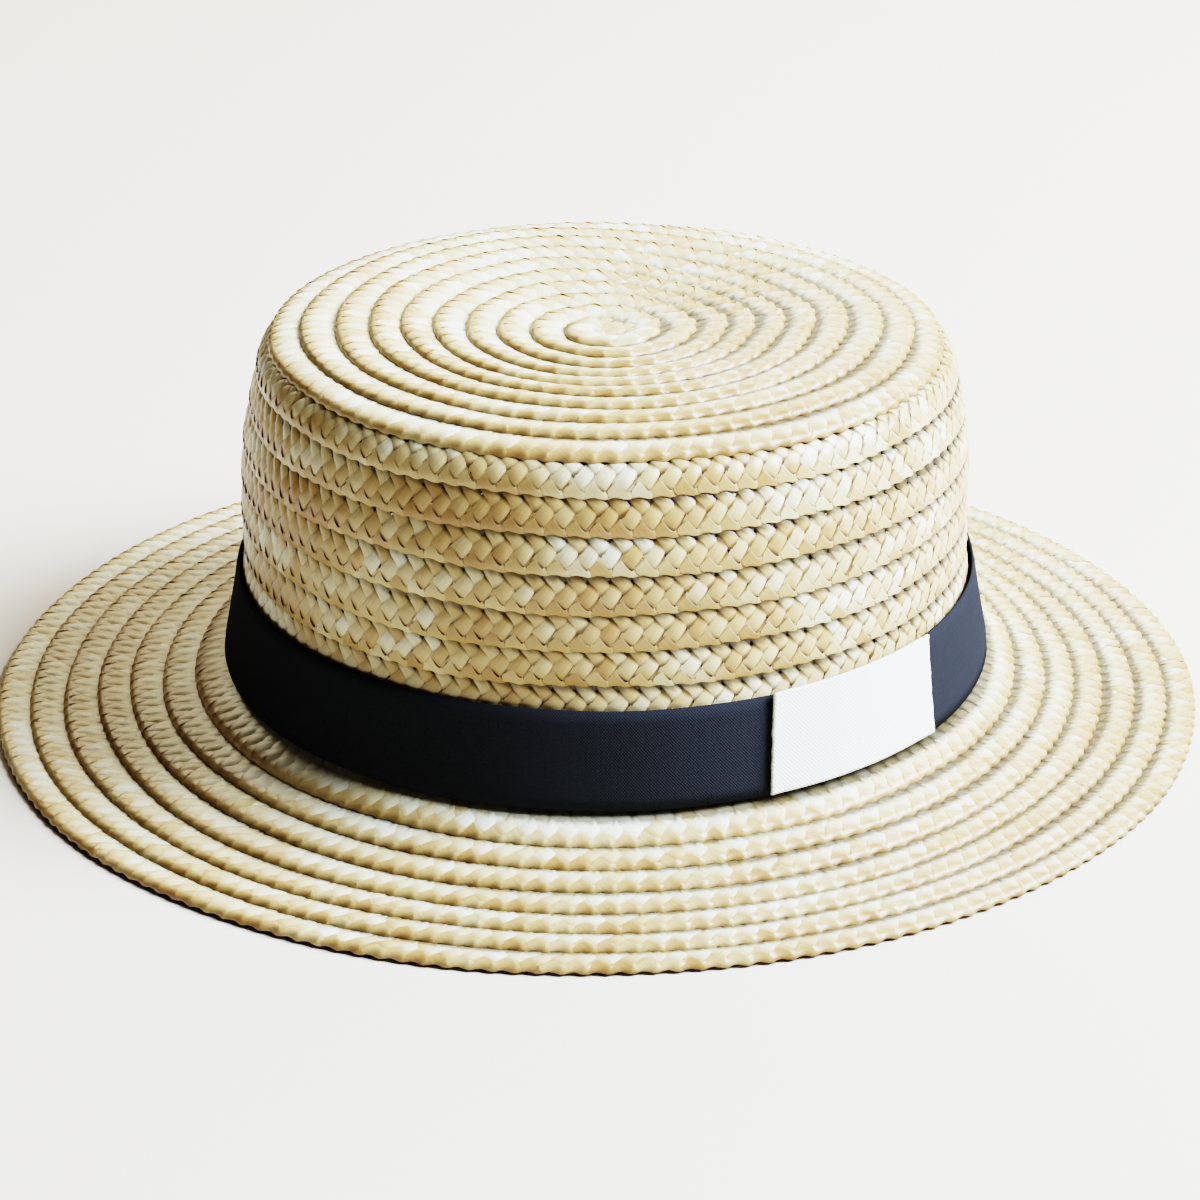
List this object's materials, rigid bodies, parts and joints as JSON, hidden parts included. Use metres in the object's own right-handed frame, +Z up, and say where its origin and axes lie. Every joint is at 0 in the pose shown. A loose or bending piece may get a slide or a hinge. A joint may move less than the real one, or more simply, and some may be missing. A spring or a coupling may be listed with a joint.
{
  "type": "straw boater hat",
  "caption": "Flat-topped straw hat sewn from plaited braid, with a gently sloping brim, a dark ribbon band and a pale canvas tab on the band.",
  "frame": {"origin": "middle of the brim, on the surface that the hat stands on", "axes": "+Z up through the crown, +Y towards the back of the hat, +X towards the side that the tab is on; the front faces -Y"},
  "size_m": [0.29, 0.3062, 0.0933],
  "materials": {
    "straw": "satin plaited straw",
    "ribbon": "matte woven tape",
    "canvas": "matte plain weave"
  },
  "bodies": {
    "root": {"crown": "straw", "brim": "straw", "ribbon_band": "ribbon", "ribbon_tab": "canvas"}
  },
  "joints": []
}
